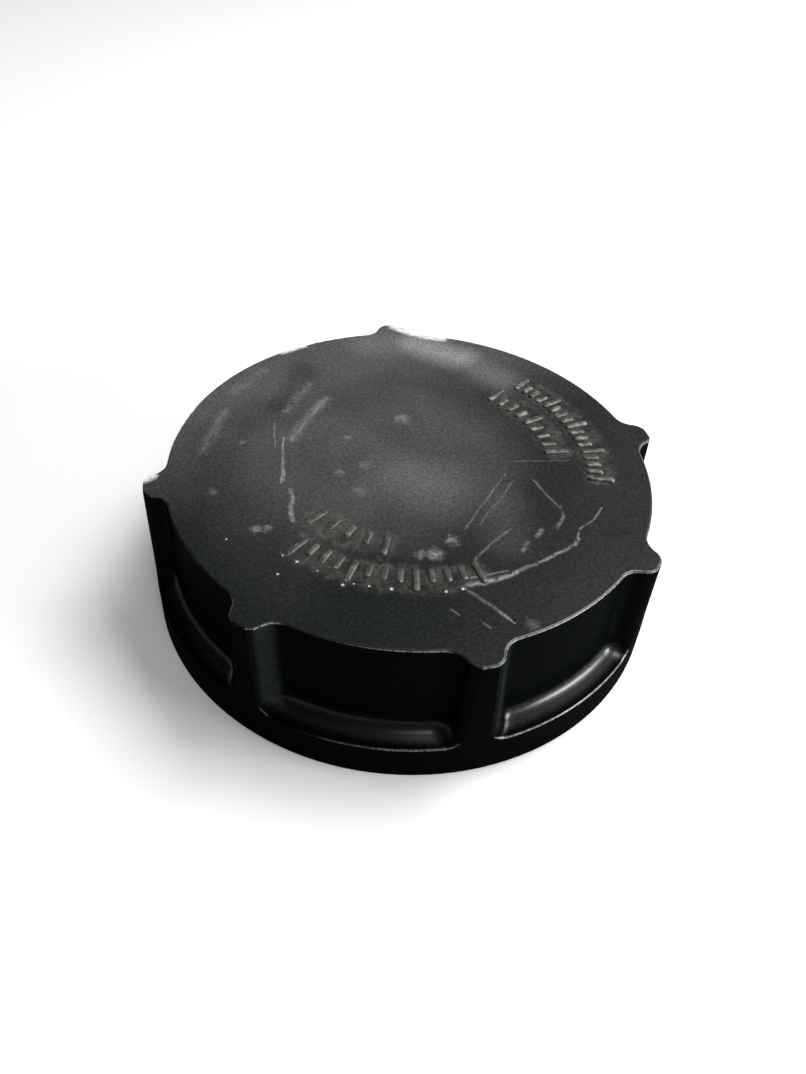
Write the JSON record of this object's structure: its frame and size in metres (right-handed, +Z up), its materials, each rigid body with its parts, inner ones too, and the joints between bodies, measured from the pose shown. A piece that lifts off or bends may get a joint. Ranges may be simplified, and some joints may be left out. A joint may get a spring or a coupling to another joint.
{
  "type": "power steering reservoir cap",
  "caption": "Black moulded screw cap with grip lugs round its side, a threaded skirt, a sealing gasket and a vented splash baffle for a steering fluid reservoir.",
  "frame": {"origin": "centre of the open rim's foot, on the surface the cap stands on", "axes": "+Z up through the lid along the thread's axis, -Y towards the side that faces the viewer in the picture"},
  "size_m": [0.075, 0.075, 0.0212],
  "materials": {
    "cap_body": "satin moulded, dusty and scratched on the lid",
    "sealing_gasket": "matt, oil wetted",
    "splash_baffle": "satin moulded",
    "filter_pad": "open foam, oil stained"
  },
  "bodies": {
    "root": {"cap_body": "cap_body", "sealing_gasket": "sealing_gasket", "splash_baffle": "splash_baffle", "filter_pad": "filter_pad"}
  },
  "joints": []
}
